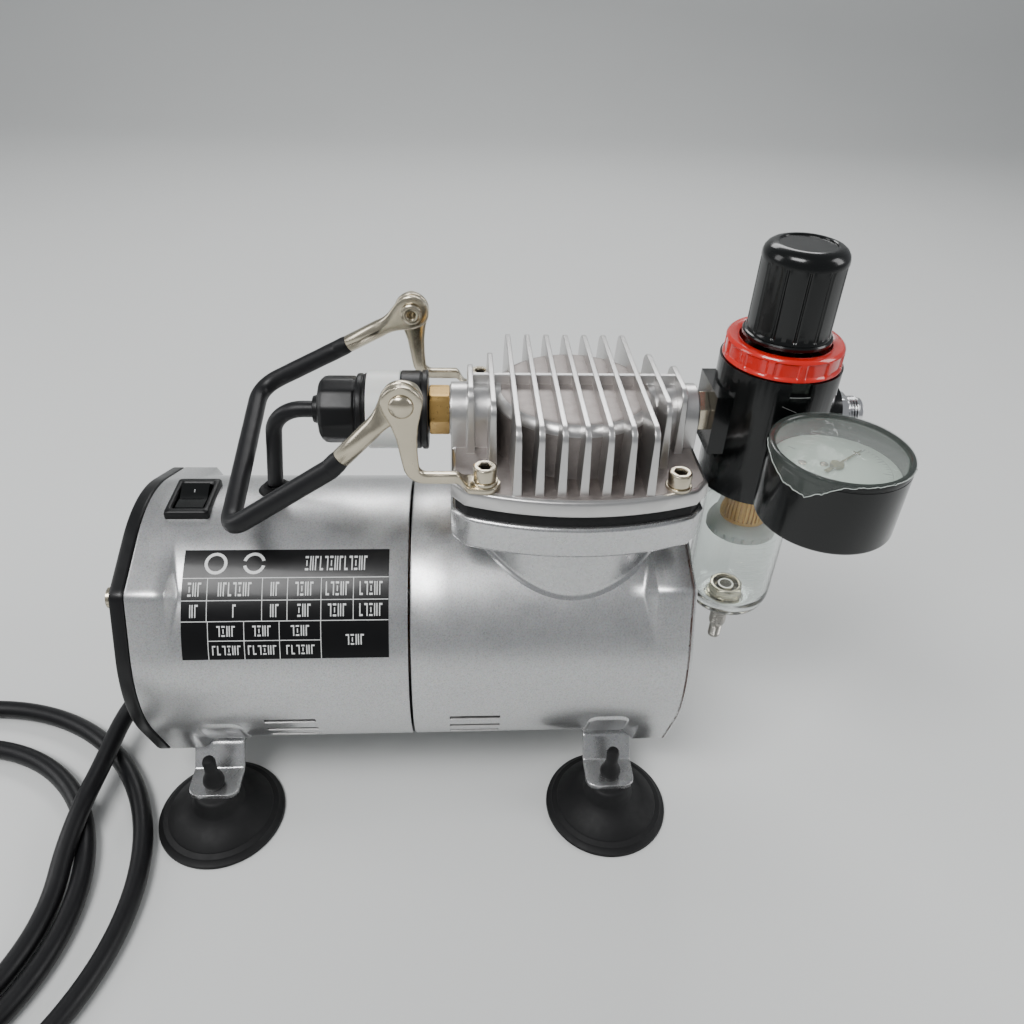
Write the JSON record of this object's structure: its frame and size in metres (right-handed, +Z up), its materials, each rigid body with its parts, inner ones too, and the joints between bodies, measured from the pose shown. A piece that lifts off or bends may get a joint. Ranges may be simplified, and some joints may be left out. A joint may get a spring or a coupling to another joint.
{
  "type": "airbrush compressor",
  "caption": "Small oil-less piston air compressor on suction-cup feet, with finned head, carrying handle, filter regulator, pressure gauge and mains lead.",
  "frame": {"origin": "on the supporting surface, under the middle of the object without its mains lead", "axes": "+Z up, +X along the motor axis towards the filter regulator, -Y towards the side with the rating plate and gauge"},
  "size_m": [0.4401, 0.2422, 0.2044],
  "materials": {
    "casing_silver": "satin metallic paint",
    "black_plate": "gloss foil with a printed grid",
    "black_plastic": "satin moulded",
    "cap_black": "satin black paint",
    "cast_aluminium": "fine blasted casting",
    "machined_steel": "plain machined",
    "nickel": "nickel plated",
    "chrome": "bright",
    "brass": "turned",
    "black_rubber": "satin rubber",
    "cord_black": "soft satin jacket",
    "red_plastic": "gloss moulded",
    "clear_plastic": "clear moulded",
    "white_plastic": "satin moulded",
    "dial_white": "printed dial",
    "lamination": "stacked laminations",
    "winding_copper": "enamelled wire",
    "sintered_bronze": "sintered"
  },
  "bodies": {
    "frame": {"casing_left": "casing_silver", "casing_right": "casing_silver", "end_cap_left": "cap_black", "end_cap_right": "casing_silver", "cap_screws": "machined_steel", "rating_plate": "black_plate", "switch_bezel": "black_plastic", "stator_core": "lamination", "stator_windings": "winding_copper", "bearings": "machined_steel", "bearing_bulkhead": "cast_aluminium", "cylinder_liner": "machined_steel", "valve_plate": "black_rubber", "cylinder_head": "cast_aluminium", "head_screws": "nickel", "head_washers": "nickel", "handle_bracket_front": "nickel", "handle_bracket_rear": "nickel", "handle_rivets": "nickel", "suction_cups_left": "black_rubber", "suction_cups_right": "black_rubber", "foot_brackets": "casing_silver", "foot_screws": "machined_steel", "pressure_switch_cap": "black_plastic", "pressure_switch_label": "white_plastic", "pressure_switch_body": "black_plastic", "switch_fitting": "brass", "cable_grommet": "black_rubber", "switch_cable": "cord_black", "regulator_body": "black_plastic", "inlet_nipple": "nickel", "lock_ring": "red_plastic", "filter_bowl": "clear_plastic", "filter_element": "sintered_bronze", "filter_baffle": "white_plastic", "bowl_nut": "nickel", "air_outlet": "chrome", "gauge_case": "cap_black", "gauge_dial": "dial_white", "gauge_lens": "clear_plastic", "gauge_stem": "brass", "cord_boot": "black_rubber", "mains_cord": "cord_black", "cord_coil": "cord_black", "cord_tail": "cord_black", "mains_plug": "black_rubber"},
    "rocker": {"switch_rocker": "black_plastic"},
    "handle": {"handle_bar": "black_plastic", "handle_sleeve_front": "nickel", "handle_sleeve_rear": "nickel"},
    "spindle": {"adjusting_spindle": "machined_steel"},
    "knob": {"adjusting_knob": "black_plastic"},
    "drain": {"drain_valve": "machined_steel"},
    "needle": {"gauge_needle": "black_plastic"},
    "shaft": {"motor_shaft": "machined_steel", "rotor": "lamination", "cooling_fan": "black_plastic", "crank_disc": "machined_steel"},
    "piston": {"piston_rod": "cast_aluminium", "piston_seal": "black_rubber"}
  },
  "joints": [
    {"name": "rocker_tilt", "type": "hinge", "parent": "frame", "child": "rocker", "pos_m": [-0.10275, 0, 0.111], "axis": [-1, 0, 0], "range_deg": [0, 20]},
    {"name": "handle_swing", "type": "hinge", "parent": "frame", "child": "handle", "pos_m": [-0.02705, 0, 0.168], "axis": [0, 1, 0], "range_deg": [0, 205]},
    {"name": "knob_turn", "type": "hinge", "parent": "frame", "child": "spindle", "pos_m": [0.09315, 0, 0.18], "axis": [0, 0, 1], "range_deg": [-540, 540]},
    {"name": "knob_lift", "type": "slide", "parent": "spindle", "child": "knob", "axis": [0, 0, 1], "range_m": [0, 0.003]},
    {"name": "drain_push", "type": "slide", "parent": "frame", "child": "drain", "axis": [0, 0, 1], "range_m": [0, 0.002], "stiffness_N_per_m": 300, "springref_m": -0.0005},
    {"name": "needle_sweep", "type": "hinge", "parent": "frame", "child": "needle", "pos_m": [0.09855, -0.0438, 0.1542], "axis": [0, 0, -1], "range_deg": [0, 265]},
    {"name": "motor_spin", "type": "hinge", "parent": "frame", "child": "shaft", "pos_m": [-0.02755, 0, 0.063], "axis": [1, 0, 0], "continuous": true},
    {"name": "piston_stroke", "type": "slide", "parent": "frame", "child": "piston", "axis": [0, 0, 1], "range_m": [-0.012, 0]}
  ]
}
